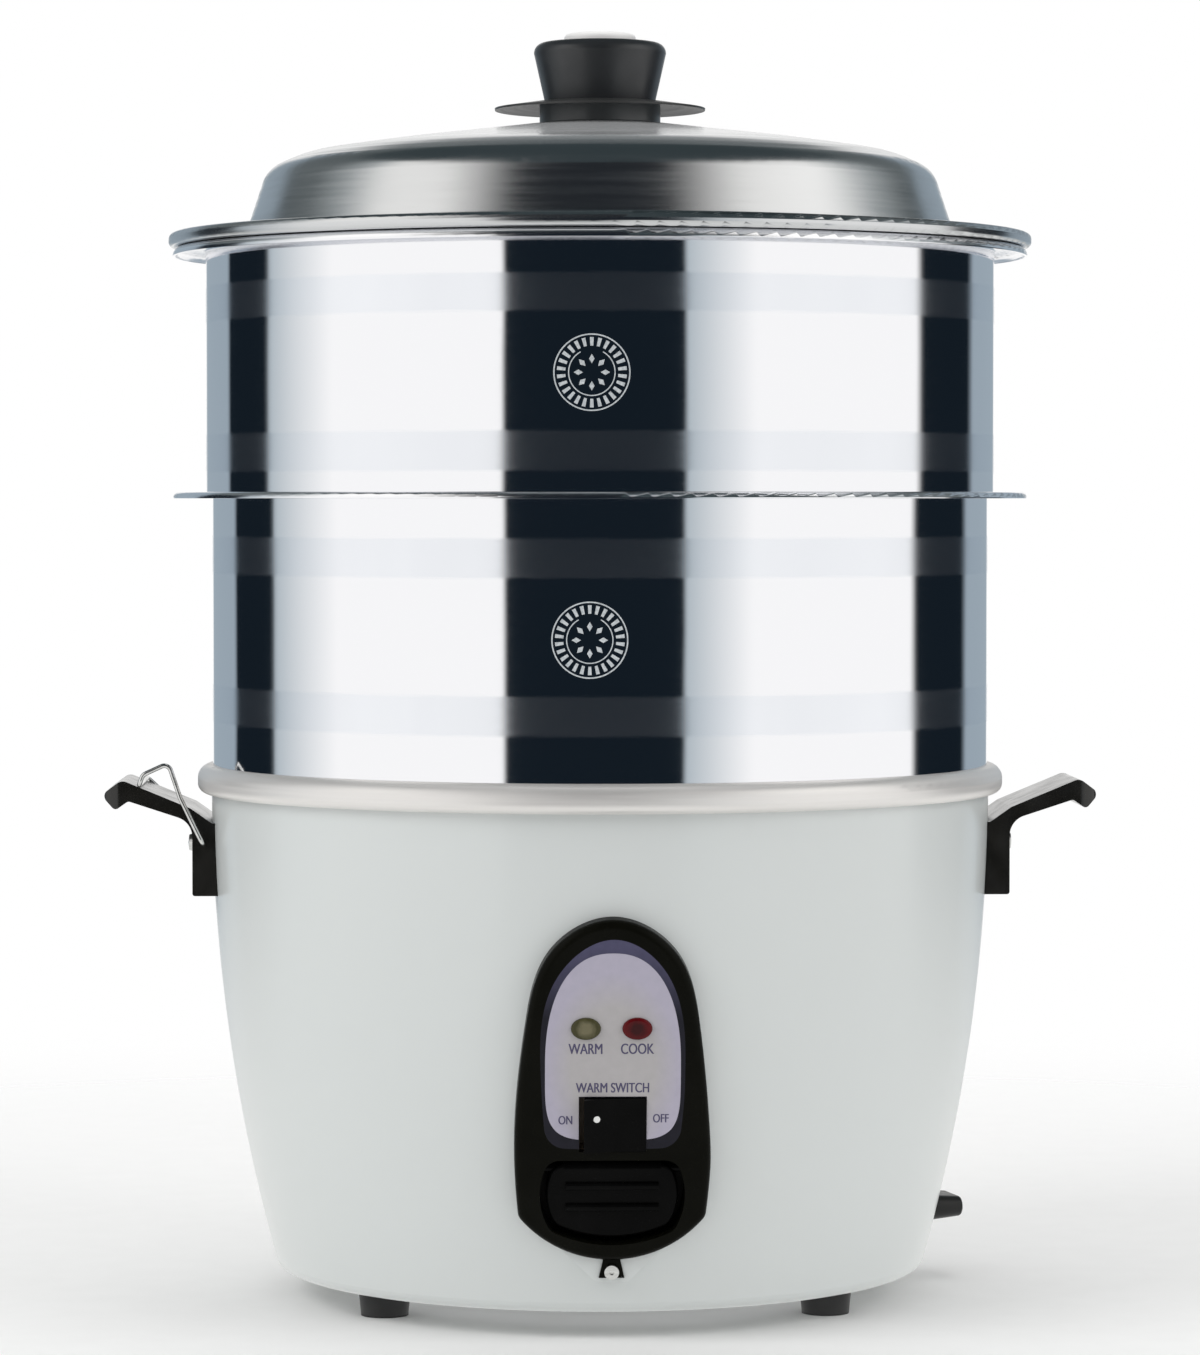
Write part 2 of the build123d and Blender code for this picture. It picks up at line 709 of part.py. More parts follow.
def lid_shell():
    """Pressed lid: a rolled hem that rests on the tier, a flat brim, a wall and a shallow dome."""
    points = [
        (lid_hem_radius, upper_flange_z),
        (lid_radius, upper_flange_z),
        (lid_radius, lid_brim_z),
        (lid_wall_foot_radius, lid_brim_z),
        lid_wall_top,
        lid_shoulder_end,
        lid_dome,
        (lid_flat_radius, lid_top_z),
        (knob_screw_radius + 0.1, lid_top_z),
    ]
    return turned(points, [2.0, 2.2, 3.0, 12.0, 40.0, 200.0, 0], lid_sheet)


def knob_collar():
    """Black spacer under the guard."""
    inner = knob_screw_radius + 0.1
    return turned_solid(
        [
            (inner, lid_top_z),
            (collar_radius - 0.8, lid_top_z),
            (collar_radius, lid_top_z + 0.8),
            (collar_radius, collar_top_z),
            (inner, collar_top_z),
        ]
    )


def knob_guard():
    """Thin metal disc that keeps fingers off the lid, its edge drooping."""
    droop_z = collar_top_z - 2.2
    points = [
        (guard_radius, droop_z + guard_sheet),
        (collar_radius + 3, collar_top_z + guard_sheet),
        (knob_screw_radius + 0.1, collar_top_z + guard_sheet),
    ]
    return turned(points, [12], guard_sheet)


def lid_knob():
    """Flared knob with a round top edge and a slightly domed top."""
    base_z = collar_top_z + guard_sheet
    lower = [(0, base_z), (knob_base_radius, base_z), (knob_top_radius, knob_widest_z)]
    side = Polyline(*lower)
    edge = ThreePointArc(
        (knob_top_radius, knob_widest_z),
        (knob_top_radius - 0.9, knob_widest_z + 2.6),
        (knob_top_radius - 4, knob_top_z - 0.5),
    )
    top = Polyline((knob_top_radius - 4, knob_top_z - 0.5), (cap_radius + 1, knob_top_z), (0, knob_top_z))
    axis = Line((0, knob_top_z), (0, base_z))
    knob = revolve(make_face(Plane.XZ * (side + edge + top + axis)), Axis.Z)
    return knob - at(0, 0, base_z, Cylinder(knob_screw_radius, 12, align=FROM_LOW))


def knob_cap():
    """Pale domed disc set on the knob's top."""
    edge_z = knob_top_z + cap_side
    side = Polyline((0, knob_top_z), (cap_radius, knob_top_z), (cap_radius, edge_z))
    shoulder = (cap_radius - 4, cap_top_z - 0.9)
    dome = Spline((cap_radius, edge_z), shoulder, (0, cap_top_z), tangents=[(0, 1), (-1, 0)])
    axis = Line((0, cap_top_z), (0, knob_top_z))
    return revolve(make_face(Plane.XZ * (side + dome + axis)), Axis.Z)


def knob_screw():
    """Pan-head screw from inside the lid up into the knob."""
    under_lid = lid_top_z - lid_sheet
    head = under_lid - 3.5
    tip = collar_top_z + guard_sheet + 12
    radius = knob_screw_radius
    return turned_solid([(0, head), (4.5, head), (5.5, under_lid), (radius, under_lid), (radius, tip), (0, tip)])


def build_all():
    """Every node by name."""
    filled = shell_solid()
    handle = right_handle(filled)
    nodes = {
        "outer_shell": outer_shell(filled),
        "bottom_cover": bottom_cover(),
        "foot_screws": foot_screws(),
        "inlet_housing": inlet_housing(filled),
        "inlet_pins": inlet_pins(),
        "outer_pot": outer_pot(),
        "heating_plate": heating_plate(),
        "heater_terminals": heater_terminals(),
        "thermostat": thermostat(),
        "heater_strap": heater_strap(),
        "thermal_fuse": thermal_fuse(),
        "terminal_block": terminal_block(),
        "inner_pot": inner_pot(),
        "panel_bezel": panel_bezel(filled),
        "panel_label": panel_label(),
        "panel_screw": panel_screw(),
        "cook_lever": cook_lever(),
        "lever_pin": lever_pin(),
        "cook_switch": cook_switch(),
        "switch_bracket": switch_bracket(),
        "warm_rocker": warm_rocker(),
        "rocker_dot": rocker_dot(),
        "rocker_case": rocker_case(),
        "right_handle": handle,
        "left_handle": left_handle(handle),
        "handle_screws": handle_screws(),
        "lid_stand": lid_stand(),
        "lower_steamer_wall": steamer_wall(
            rim_top_z, lower_flange_z, lower_skirt_radius, lower_tier_radius, lower_flange_lip
        ),
        "lower_steamer_floor": steamer_floor(rim_top_z, lower_skirt_radius),
        "upper_steamer_wall": steamer_wall(
            lower_flange_z, upper_flange_z, upper_skirt_radius, upper_tier_radius, upper_flange_lip
        ),
        "upper_steamer_floor": steamer_floor(lower_flange_z, upper_skirt_radius),
        "lid_shell": lid_shell(),
        "knob_collar": knob_collar(),
        "knob_guard": knob_guard(),
        "lid_knob": lid_knob(),
        "knob_cap": knob_cap(),
        "knob_screw": knob_screw(),
    }
    for x, y in foot_places():
        depth = "front" if y < 0 else "rear"
        side = "left" if x < 0 else "right"
        nodes[f"foot_{depth}_{side}"] = foot(x, y)
    for name, x in lamp_places.items():
        nodes[f"{name}_lamp_lens"] = lamp_lens(x)
        nodes[f"{name}_lamp"] = neon_lamp(x)
    return nodes


os.makedirs("parts", exist_ok=True)
for name, shape in build_all().items():
    export_step(shape, f"parts/{name}.step")
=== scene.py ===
"""Looks for the rice cooker with two steamer tiers: finishes, printing, light and camera."""

from math import asin, cos, degrees, pi, radians, sin

import bmesh
import bpy
from mathutils import Matrix, Vector


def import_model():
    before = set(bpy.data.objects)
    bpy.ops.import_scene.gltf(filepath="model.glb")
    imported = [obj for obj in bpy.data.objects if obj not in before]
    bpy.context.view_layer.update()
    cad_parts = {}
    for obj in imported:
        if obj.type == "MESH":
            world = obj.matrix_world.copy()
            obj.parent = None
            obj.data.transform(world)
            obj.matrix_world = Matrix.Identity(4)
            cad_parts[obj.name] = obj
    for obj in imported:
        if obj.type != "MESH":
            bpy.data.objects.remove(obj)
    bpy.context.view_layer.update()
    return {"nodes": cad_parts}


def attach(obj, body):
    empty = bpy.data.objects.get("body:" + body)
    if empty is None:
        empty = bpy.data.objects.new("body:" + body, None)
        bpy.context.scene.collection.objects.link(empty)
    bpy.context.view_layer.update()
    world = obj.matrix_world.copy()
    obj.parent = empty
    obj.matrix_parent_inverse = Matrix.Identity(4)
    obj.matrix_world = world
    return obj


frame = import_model()

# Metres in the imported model's frame, unless a comment says mm
MM = 0.001

# Control panel's plane, as the part's source sets it out, and the lamps' places on it in mm
panel_lean = radians(8.5515)
panel_middle = Vector((0, -0.141453, 0.09555))
panel_proud = 7.5 * MM
lamp_z = 119.3
lamp_places = {"warm": -9.9, "cook": 8.8}

# Pale field of the label in mm: an egg with a squarer foot, its heights above the table
field_half_width = 24.7
field_widest_z = 105.0
field_top_z = 147.0
field_low_z = 77.8
field_lift = 0.05 * MM
round_power = 0.85
square_power = 0.45
rocker_window_half_width = 12.4
rocker_window_top_z = 94.1

# Half width and half height of the field's lamp holes in mm, and the steps round each
lamp_hole = (5.2, 3.9)
lamp_hole_steps = 40

# Reach over which the field turns lilac, as shares of its half width and of this half height in mm
lilac_reach = (0.62, 0.98)
lilac_half_height = 36.0

# Heights over which the label's edge turns from near black to violet
violet_z = (0.122, 0.148)

# Reach from a lens's middle over which its heart turns to its ring, and how unevenly; the heart is a painted
# highlight in the warm lens and painted shade in the cook lens
painted_light_reach = (2.2 * MM, 4.2 * MM)
painted_light_wander = 0.4 * MM

# Generic words on the label: place across, height above the table and letter height, in mm
label_words = (
    ("WARM", lamp_places["warm"], 111.6, 5.6),
    ("COOK", lamp_places["cook"], 111.6, 5.6),
    ("WARM SWITCH", 0.0, 97.2, 5.2),
    ("ON", -17.2, 85.2, 4.6),
    ("OFF", 17.5, 85.8, 4.6),
)
letter_width = 0.72
letter_depth = 0.02 * MM
strikes = (-0.1, 0.1)
strike_lift = 0.005 * MM

# Satin bands rolled round the tiers, in metres
lower_bands = ((0.2240, 0.2385), (0.2815, 0.2959))
upper_bands = ((0.3205, 0.3350), (0.3783, 0.3921))
band_edge = 0.0006
band_wander = 0.0004

# Where each tier's wall ends and its softer lip begins
lower_lip_z = 0.3105
upper_lip_z = 0.4035
lip_roughness = 0.16

# Etched marks: name, azimuth in degrees, height and tier
tier_marks = (
    ("lower_mark", -3.2, 0.2591, "lower_steamer"),
    ("upper_mark", -2.9, 0.3559, "upper_steamer"),
)
tier_radius_of = {"lower_steamer": 0.1515, "upper_steamer": 0.15385}
mark_lift = 0.04 * MM

# Their ticks, rings and petals: reaches in mm, angles in radians
mark_ticks = 26
tick_reach = (9.6, 12.7)
tick_half_angle = 0.055
outer_ring = (13.5, 14.0)
inner_ring = (8.2, 8.6)
inner_ring_gap = 0.5
mark_petals = 8
petal_reach = (3.2, 5.0, 6.6)
petal_half_angle = 0.2

# Camera
camera_azimuth = -1.8
camera_distance = 1.96
eye_height = 0.3097
camera_tilt = 2.03
focal_length = 132.8

# Studio surround that only reflections see: a wall, a carpet and a ceiling
surround_radius = 1.5
surround_height = 1.9
carpet_height = 0.5 * MM
mean_tier_radius = 0.1528

# Heights between which the wall's low pattern, for the tiers, turns to its high one, for the lid
lid_reflection_z = (0.72, 0.92)

# Rise of those heights behind the cooker, and the azimuths from the front over which they rise
rear_rise = 0.42
rear_azimuths = (130, 155)

# Shares of the circle, from straight behind, between which the low pattern turns from pale to blue
rear_shares = (0.045, 0.055)

# Tones in which the carpet and the ceiling show, and where the wall's pattern fades in on the carpet
carpet_pale = (228, 229, 230)
ceiling_tone = (52, 60, 63)
carpet_fade = (0.35, 1.3)
carpet_strength = 0.7

# How the metals tint what they reflect
steel_tint = (0.87, 0.875, 0.90)
lid_tint = (0.65, 0.66, 0.67)

# Reach over which the lid's less metallic middle, where its pale base colour shows as a painted sheen, turns
# to bright steel, and how metallic that middle is
painted_sheen_reach = (0.100, 0.126)
painted_sheen_metal = 0.45

# How fast turned marks change along a ring, next to how fast they change from ring to ring
ring_drift = 0.02

# Floor and light
floor_radius = 3.0
floor_fade = (0.25, 1.0)
sky_strength = 0.62
lamp_target = Vector((0, 0, 0.22))
lamps = (
    ("key", (-2.0, -1.1, 1.8), 1.8, 27),
    ("fill", (2.1, -1.1, 1.5), 1.6, 17),
    ("top", (0.1, 0.5, 2.3), 1.6, 12),
)


def own(material_name):
    """A new material with its node tree and its shader."""
    material = bpy.data.materials.new(material_name)
    material.use_nodes = True
    return material, material.node_tree, material.node_tree.nodes["Principled BSDF"]


def add(tree, kind, sockets=None, **settings):
    """A node with its settings made and its inputs set or wired."""
    node = tree.nodes.new(kind)
    for name, value in settings.items():
        setattr(node, name, value)
    for name, value in (sockets or {}).items():
        if isinstance(value, bpy.types.NodeSocket):
            tree.links.new(value, node.inputs[name])
        else:
            node.inputs[name].default_value = value
    return node


def set_shader(shader, **values):
    """Constant values on the shader's own sockets, underscores standing for spaces."""
    for name, value in values.items():
        shader.inputs[name.replace("_", " ")].default_value = value


def place(tree):
    """Where a point is in the object's own metres."""
    return add(tree, "ShaderNodeTexCoord").outputs["Object"]


def noise(tree, vector, scale, stretch=(1, 1, 1), detail=3.0):
    """Noise between 0 and 1, its features about 1/scale metres before the stretch."""
    mapped = add(tree, "ShaderNodeMapping", {"Vector": vector, "Scale": stretch})
    texture = add(
        tree,
        "ShaderNodeTexNoise",
        {"Vector": mapped.outputs["Vector"], "Scale": scale, "Detail": detail},
    )
    return texture.outputs["Fac"]


def spread(tree, value, low, high, start=0.3, end=0.7):
    """A value between start and end spread over low to high."""
    sockets = {"Value": value, "From Min": start, "From Max": end, "To Min": low, "To Max": high}
    return add(tree, "ShaderNodeMapRange", sockets).outputs["Result"]


def blend_colours(tree, share, first, second):
    """A colour between two, by a share from 0 to 1."""
    node = add(tree, "ShaderNodeMix", {"Factor": share}, data_type="RGBA")
    for socket, colour in ((node.inputs[6], first), (node.inputs[7], second)):
        if isinstance(colour, bpy.types.NodeSocket):
            tree.links.new(colour, socket)
        else:
            socket.default_value = (*colour, 1)
    return node.outputs[2]


def maths(tree, operation, first, second=0.0):
    """Arithmetic on two values."""
    return add(tree, "ShaderNodeMath", {0: first, 1: second}, operation=operation).outputs[0]


def sides_of(tree, vector):
    """The X, Y and Z of a vector."""
    return add(tree, "ShaderNodeSeparateXYZ", {"Vector": vector}).outputs


def length(tree, vector):
    """How long a vector is."""
    return add(tree, "ShaderNodeVectorMath", {0: vector}, operation="LENGTH").outputs["Value"]


def flattened(tree, vector):
    """A vector without its height."""
    node = add(tree, "ShaderNodeVectorMath", {0: vector, 1: (1, 1, 0)}, operation="MULTIPLY")
    return node.outputs["Vector"]


def bump(tree, shader, height, distance, strength=1.0, under=None):
    """Relief of a height, in metres, over any other relief."""
    sockets = {"Height": height, "Distance": distance, "Strength": strength}
    if under is not None:
        sockets["Normal"] = under
    normal = add(tree, "ShaderNodeBump", sockets).outputs["Normal"]
    tree.links.new(normal, shader.inputs["Normal"])
    return normal


def wire(tree, shader, **sources):
    """Wires sources to the shader's inputs, underscores standing for spaces."""
    for name, source in sources.items():
        tree.links.new(source, shader.inputs[name.replace("_", " ")])


def paint(material, *names):
    """Gives CAD nodes a material."""
    for name in names:
        node = frame["nodes"][name]
        node.data.materials.clear()
        node.data.materials.append(material)


# Finishes


def enamel():
    """Glossy enamel of one even tone, a little unevenly glossy, with the finest orange peel."""
    material, tree, shader = own("enamel")
    here = place(tree)
    wire(tree, shader, Roughness=spread(tree, noise(tree, here, 12, detail=1), 0.285, 0.31, 0, 1))
    set_shader(shader, Base_Color=(0.676, 0.706, 0.698, 1), Coat_Weight=0.4, Coat_Roughness=0.14)
    bump(tree, shader, noise(tree, here, 500, detail=1), 0.00001, 0.15)
    return material


def plain_metal(name, dark, pale, rough, stretch, relief=0.00001, scale=300):
    """Satin metal with drawn or turned marks along the stretch given."""
    material, tree, shader = own(name)
    here = place(tree)
    marks = noise(tree, here, scale, stretch, detail=5)
    cloud = noise(tree, here, 30, detail=3)
    wire(
        tree,
        shader,
        Base_Color=blend_colours(tree, spread(tree, marks, 0, 1), dark, pale),
        Roughness=spread(tree, cloud, rough - 0.06, rough + 0.06),
    )
    set_shader(shader, Metallic=1.0)
    bump(tree, shader, marks, relief, 0.5)
    return material


def ringed_metal(name, dark, pale, rough, relief, metal=1.0):
    """Metal polished on a lathe: marks run in rings round the axis."""
    material, tree, shader = own(name)
    here = place(tree)
    flat = flattened(tree, here)
    across = maths(tree, "ADD", length(tree, flat), sides_of(tree, here)["Z"])
    shrunk = add(tree, "ShaderNodeVectorMath", {0: flat, "Scale": ring_drift}, operation="SCALE")
    sides = sides_of(tree, shrunk.outputs["Vector"])
    rings = add(tree, "ShaderNodeCombineXYZ", {"X": sides["X"], "Y": sides["Y"], "Z": across})
    marks = noise(tree, rings.outputs["Vector"], 900, detail=6)
    broad = noise(tree, rings.outputs["Vector"], 90, detail=2)
    mixed = maths(tree, "ADD", maths(tree, "MULTIPLY", marks, 0.6), maths(tree, "MULTIPLY", broad, 0.4))
    share = spread(tree, mixed, 0, 1)
    wire(
        tree,
        shader,
        Base_Color=blend_colours(tree, share, dark, pale),
        Roughness=spread(tree, marks, rough - 0.05, rough + 0.05),
    )
    set_shader(shader, Metallic=metal)
    bump(tree, shader, marks, relief, 0.5)
    return material


def lid_steel():
    """The lid's steel, brushed in rings, with a less metallic middle round the knob where its pale base
    colour shows as a painted sheen.
    """
    material = ringed_metal("lid_steel", (0.62, 0.63, 0.64), (0.68, 0.69, 0.70), 0.22, 0.00001)
    tree = material.node_tree
    shader = tree.nodes["Principled BSDF"]
    reach = length(tree, flattened(tree, place(tree)))
    # Less metal round the knob lets the pale base colour show there as a painted sheen
    wire(tree, shader, Metallic=spread(tree, reach, painted_sheen_metal, 1, *painted_sheen_reach))
    return material


def tier_steel(name, bands, lip_z):
    """Mirror-polished wall with satin bands rolled round it and a softer lip above a height."""
    material, tree, shader = own(name)
    here = place(tree)
    height = sides_of(tree, here)["Z"]
    wobble = noise(tree, here, 14, (1, 1, 0.6), detail=2)
    lines = noise(tree, here, 60, (1, 1, 60), detail=4)
    satin = None
    for low, high in bands:
        edge = maths(tree, "ADD", height, spread(tree, lines, -band_wander, band_wander))
        rise = spread(tree, edge, 0, 1, low - band_edge, low + band_edge)
        fall = spread(tree, edge, 1, 0, high - band_edge, high + band_edge)
        band = maths(tree, "MULTIPLY", rise, fall)
        satin = band if satin is None else maths(tree, "MAXIMUM", satin, band)
    streak = noise(tree, here, 25, (1, 1, 0.15), detail=3)
    satin_tone = blend_colours(tree, spread(tree, streak, 0, 1), (0.79, 0.81, 0.85), (0.83, 0.85, 0.89))
    colour = blend_colours(tree, satin, steel_tint, satin_tone)
    rough = maths(tree, "ADD", maths(tree, "MULTIPLY", satin, 0.06), spread(tree, lines, 0.045, 0.07))
    lip = spread(tree, height, 0, lip_roughness, lip_z - band_edge, lip_z + band_edge)
    rough = maths(tree, "MAXIMUM", rough, lip)
    metal = maths(tree, "SUBTRACT", 1.0, maths(tree, "MULTIPLY", satin, 0.015))
    wire(tree, shader, Base_Color=colour, Roughness=rough, Metallic=metal)
    soft = bump(tree, shader, wobble, 0.0006, 0.35)
    bump(tree, shader, lines, 0.00001, 0.25, soft)
    return material


def moulded(name, dark, pale, rough, shine=0.5, grain=600, relief=0.00002):
    """Moulded plastic or rubber with slight mottling and a fine skin."""
    material, tree, shader = own(name)
    here = place(tree)
    mottle = noise(tree, here, 60, detail=4)
    skin = noise(tree, here, grain, detail=3)
    wire(
        tree,
        shader,
        Base_Color=blend_colours(tree, spread(tree, mottle, 0, 1), dark, pale),
        Roughness=spread(tree, noise(tree, here, 110, detail=4), rough - 0.05, rough + 0.07),
    )
    set_shader(shader, Specular_IOR_Level=shine)
    bump(tree, shader, skin, relief, 0.4)
    return material


def lens(name, x, ring, painted_heart):
    """Clear tinted lens at a place across the panel, its ring in the lens's tint and its heart another tone:
    a painted highlight in the warm lens, painted shade in the cook lens.
    """
    material, tree, shader = own(name)
    here = place(tree)
    middle = panel_matrix(x, lamp_z, panel_proud).translation
    reach = add(tree, "ShaderNodeVectorMath", {0: here, 1: middle}, operation="DISTANCE").outputs["Value"]
    specks = noise(tree, here, 500, detail=2)
    edge = maths(tree, "ADD", reach, spread(tree, specks, -painted_light_wander, painted_light_wander))
    share = spread(tree, edge, 1, 0, *painted_light_reach)
    wire(tree, shader, Base_Color=blend_colours(tree, share, ring, painted_heart))
    set_shader(shader, Roughness=0.14, Coat_Weight=0.12, Coat_Roughness=0.06, Specular_IOR_Level=0.12)
    bump(tree, shader, specks, 0.00005, 0.2)
    return material


def clear_glass():
    """Thin clear glass of the neon lamps, lightly clouded."""
    material, tree, shader = own("lamp_glass")
    cloud = noise(tree, place(tree), 300, detail=3)
    wire(tree, shader, Roughness=spread(tree, cloud, 0.02, 0.10))
    set_shader(shader, Transmission_Weight=0.9, Base_Color=(0.86, 0.80, 0.74, 1))
    return material


def printed(name, dark, pale):
    """Printed satin foil, its ink slightly uneven."""
    material, tree, shader = own(name)
    here = place(tree)
    wire(
        tree,
        shader,
        Base_Color=blend_colours(tree, spread(tree, noise(tree, here, 260, detail=5), 0, 1), dark, pale),
        Roughness=spread(tree, noise(tree, here, 90, detail=3), 0.32, 0.44),
    )
    bump(tree, shader, noise(tree, here, 1500, detail=2), 0.00001, 0.3)
    return material


def violet_print():
    """The plate's violet edge, nearly black at the sides and the foot."""
    material, tree, shader = own("label_edge")
    here = place(tree)
    height = sides_of(tree, here)["Z"]
    speck = spread(tree, noise(tree, here, 260, detail=4), 0, 1)
    low = blend_colours(tree, speck, (0.006, 0.006, 0.012), (0.010, 0.009, 0.018))
    high = blend_colours(tree, speck, (0.066, 0.063, 0.120), (0.078, 0.074, 0.138))
    climb = spread(tree, height, 0, 1, *violet_z)
    wire(
        tree,
        shader,
        Base_Color=blend_colours(tree, climb, low, high),
        Roughness=spread(tree, noise(tree, here, 90, detail=3), 0.32, 0.44),
    )
    set_shader(shader, Specular_IOR_Level=0.2)
    return material


def finish_nodes():
    """A finish on every CAD node."""
    paint(enamel(), "outer_shell")
    bakelite = moulded("bakelite", (0.007, 0.007, 0.006), (0.013, 0.012, 0.010), 0.16, 0.5)
    paint(bakelite, "right_handle", "left_handle")
    knob = moulded("knob_bakelite", (0.014, 0.016, 0.018), (0.021, 0.023, 0.026), 0.34, 0.6)
    paint(knob, "lid_knob")
    # The collar's grey, far lighter than the knob's bakelite, is a painted sheen
    collar = moulded("collar_bakelite_painted_sheen", (0.085, 0.095, 0.100), (0.105, 0.115, 0.120), 0.34, 0.6)
    paint(collar, "knob_collar")
    bezel = moulded("bezel_plastic", (0.0028, 0.0028, 0.0015), (0.0045, 0.0045, 0.003), 0.28, 0.05)
    paint(bezel, "panel_bezel")
    lever = moulded("lever_plastic", (0.0015, 0.0015, 0.0015), (0.003, 0.003, 0.003), 0.26, 0.05)
    paint(lever, "cook_lever", "warm_rocker", "lever_pin")
    rubber = moulded("foot_rubber", (0.008, 0.008, 0.009), (0.02, 0.02, 0.02), 0.55, 0.4, 900, 0.00005)
    paint(rubber, "foot_front_left", "foot_front_right", "foot_rear_left", "foot_rear_right")
    paint(moulded("inlet_plastic", (0.008, 0.008, 0.008), (0.016, 0.016, 0.016), 0.38, 0.3), "inlet_housing")
    insulator = moulded("brown_insulator", (0.16, 0.12, 0.08), (0.24, 0.18, 0.12), 0.5)
    paint(insulator, "thermostat", "thermal_fuse", "terminal_block", "cook_switch", "rocker_case")
    paint(violet_print(), "panel_label")
    paint(printed("white_marker", (0.80, 0.80, 0.78), (0.88, 0.88, 0.86)), "rocker_dot")
    # The warm lens's paler heart is a painted highlight; the cook lens's darker heart is painted shade
    warm = lens("warm_lens", lamp_places["warm"], (0.055, 0.052, 0.022), (0.16, 0.145, 0.085))
    cook = lens("cook_lens", lamp_places["cook"], (0.095, 0.003, 0.005), (0.035, 0.003, 0.004))
    paint(warm, "warm_lamp_lens")
    paint(cook, "cook_lamp_lens")
    paint(clear_glass(), "warm_lamp", "cook_lamp")
    rim = ringed_metal("pot_rim", (0.78, 0.76, 0.74), (0.85, 0.83, 0.81), 0.42, 0.00002, 0.6)
    paint(rim, "outer_pot")
    paint(ringed_metal("spun_aluminium", (0.66, 0.66, 0.65), (0.78, 0.78, 0.77), 0.36, 0.00003), "inner_pot")
    paint(lid_steel(), "lid_shell")
    guard = ringed_metal("guard_steel", (0.035, 0.036, 0.036), (0.055, 0.056, 0.056), 0.4, 0.00001, 0.3)
    paint(guard, "knob_guard")
    cap = ringed_metal("cap_aluminium", (0.86, 0.85, 0.84), (0.92, 0.91, 0.90), 0.5, 0.00002, 0.1)
    paint(cap, "knob_cap")
    floor_steel = ringed_metal("floor_steel", (0.66, 0.67, 0.69), (0.78, 0.79, 0.81), 0.28, 0.00002)
    paint(floor_steel, "lower_steamer_floor", "upper_steamer_floor")
    paint(tier_steel("lower_tier_steel", lower_bands, lower_lip_z), "lower_steamer_wall")
    paint(tier_steel("upper_tier_steel", upper_bands, upper_lip_z), "upper_steamer_wall")
    paint(plain_metal("wire_steel", (0.62, 0.62, 0.61), (0.80, 0.80, 0.79), 0.2, (1, 0.1, 1)), "lid_stand")
    screws = plain_metal("screw_steel", (0.55, 0.55, 0.54), (0.70, 0.70, 0.69), 0.3, (1, 1, 4))
    paint(screws, "foot_screws", "handle_screws", "panel_screw", "knob_screw")
    zinc = plain_metal("zinc_plate", (0.46, 0.47, 0.48), (0.62, 0.63, 0.64), 0.42, (1, 1, 1), scale=60)
    paint(zinc, "bottom_cover", "heater_strap", "switch_bracket")
    dull = plain_metal("element_steel", (0.24, 0.23, 0.22), (0.38, 0.37, 0.36), 0.45, (1, 1, 3))
    paint(dull, "heater_terminals")
    paint(plain_metal("brass", (0.60, 0.42, 0.18), (0.76, 0.58, 0.30), 0.3, (3, 1, 1)), "inlet_pins")
    cast = plain_metal("cast_aluminium", (0.46, 0.46, 0.45), (0.60, 0.60, 0.59), 0.5, (1, 1, 1), 0.0001, 250)
    paint(cast, "heating_plate")


# Printing on the label and the tiers' etched marks


def panel_matrix(x, z, out):
    """Matrix of a thing printed on the panel: X right, Y up the slope, Z out; x and z in mm."""
    outwards = Vector((0, -cos(panel_lean), -sin(panel_lean)))
    upwards = Vector((0, -sin(panel_lean), cos(panel_lean)))
    climb = (z * MM - panel_middle.z) / cos(panel_lean)
    spot = panel_middle + Vector((x * MM, 0, 0)) + upwards * climb + outwards * out
    turn = Matrix((Vector((1, 0, 0)), upwards, outwards)).transposed().to_4x4()
    return Matrix.Translation(spot) @ turn


def egg(half_width, top, low, widest, steps=144):
    """Outline that is round above its widest height and squarer below it."""
    points = []
    for step in range(steps):
        turn = 2 * pi * step / steps
        across, along = cos(turn), sin(turn)
        power = round_power if along > 0 else square_power
        x = half_width * abs(across) ** power * (1 if across > 0 else -1)
        climb = (top - widest) if along > 0 else (low - widest)
        points.append((x, climb * abs(along) ** power))
    return points


def spline_of(curve, points):
    """A closed straight-sided spline from points in mm."""
    spline = curve.splines.new("POLY")
    spline.points.add(len(points) - 1)
    for point, (x, y) in zip(spline.points, points):
        point.co = (x * MM, y * MM, 0, 1)
    spline.use_cyclic_u = True


def label_field():
    """Pale printed field over the violet plate, with holes for the lamps and the rocker."""
    curve = bpy.data.curves.new("label_field", "CURVE")
    curve.dimensions = "2D"
    curve.fill_mode = "BOTH"
    curve.extrude = field_lift / 2
    rise = 1 / cos(panel_lean)
    outline = egg(field_half_width, field_top_z * rise, field_low_z * rise, field_widest_z * rise)
    half = rocker_window_half_width
    notch_high = (rocker_window_top_z - field_widest_z) * rise
    kept = [(x, y) for x, y in outline if not (abs(x) < half and y < 0)]
    first = next(i for i, (x, y) in enumerate(kept) if x > 0 and y < 0 and kept[i - 1][0] < 0)
    kept = kept[first:] + kept[:first]
    foot = kept[-1][1]
    kept += [(-half, foot), (-half, notch_high), (half, notch_high), (half, foot)]
    spline_of(curve, kept)
    wide, tall = lamp_hole
    middle = (lamp_z - field_widest_z) * rise
    angles = [2 * pi * step / lamp_hole_steps for step in range(lamp_hole_steps)]
    for x in lamp_places.values():
        spline_of(curve, [(x + wide * cos(angle), middle + tall * sin(angle)) for angle in angles])
    field = bpy.data.objects.new("label_field", curve)
    bpy.context.scene.collection.objects.link(field)
    field.matrix_world = panel_matrix(0, field_widest_z, panel_proud + field_lift / 2)
    curve.materials.append(field_print())
    return field


